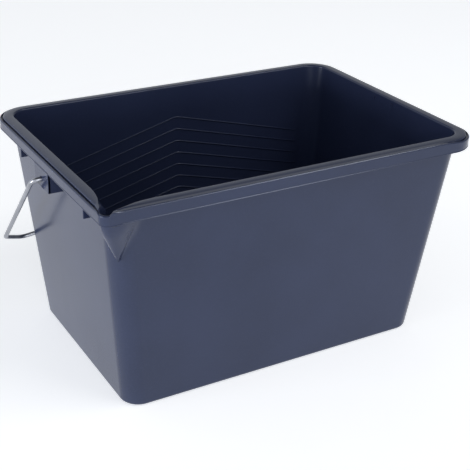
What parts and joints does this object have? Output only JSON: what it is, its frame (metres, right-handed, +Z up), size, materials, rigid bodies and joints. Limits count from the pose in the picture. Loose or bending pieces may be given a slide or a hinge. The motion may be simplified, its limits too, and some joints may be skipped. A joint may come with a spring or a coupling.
{
  "type": "paint roller tub",
  "caption": "Deep rectangular paint roller tub with tapered walls, a rolled rim, a corner pouring spout, inner roller ribs and a swinging wire bail with a grip.",
  "frame": {"origin": "on the floor, under the middle of the tub", "axes": "+X along the long side, +Y towards the wall with the roller ribs, which the bail hangs against, +Z up"},
  "size_m": [0.3792, 0.25, 0.199],
  "materials": {
    "tub_plastic": "very dark blue-black moulded polypropylene, satin gloss",
    "zinc_wire": "zinc-plated drawn steel wire, soft sheen",
    "grip_plastic": "black moulded plastic, fine satin"
  },
  "bodies": {
    "tub": {"tub": "tub_plastic"},
    "bail": {"bail_wire": "zinc_wire"},
    "grip": {"bail_grip": "grip_plastic"}
  },
  "joints": [
    {"name": "bail_swing", "type": "hinge", "parent": "tub", "child": "bail", "pos_m": [0, 0, 0.179], "axis": [1, 0, 0], "range_deg": [0, 266.3]},
    {"name": "grip_spin", "type": "hinge", "parent": "bail", "child": "grip", "pos_m": [0, 0.11232, 0.07365], "axis": [1, 0, 0], "continuous": true}
  ]
}
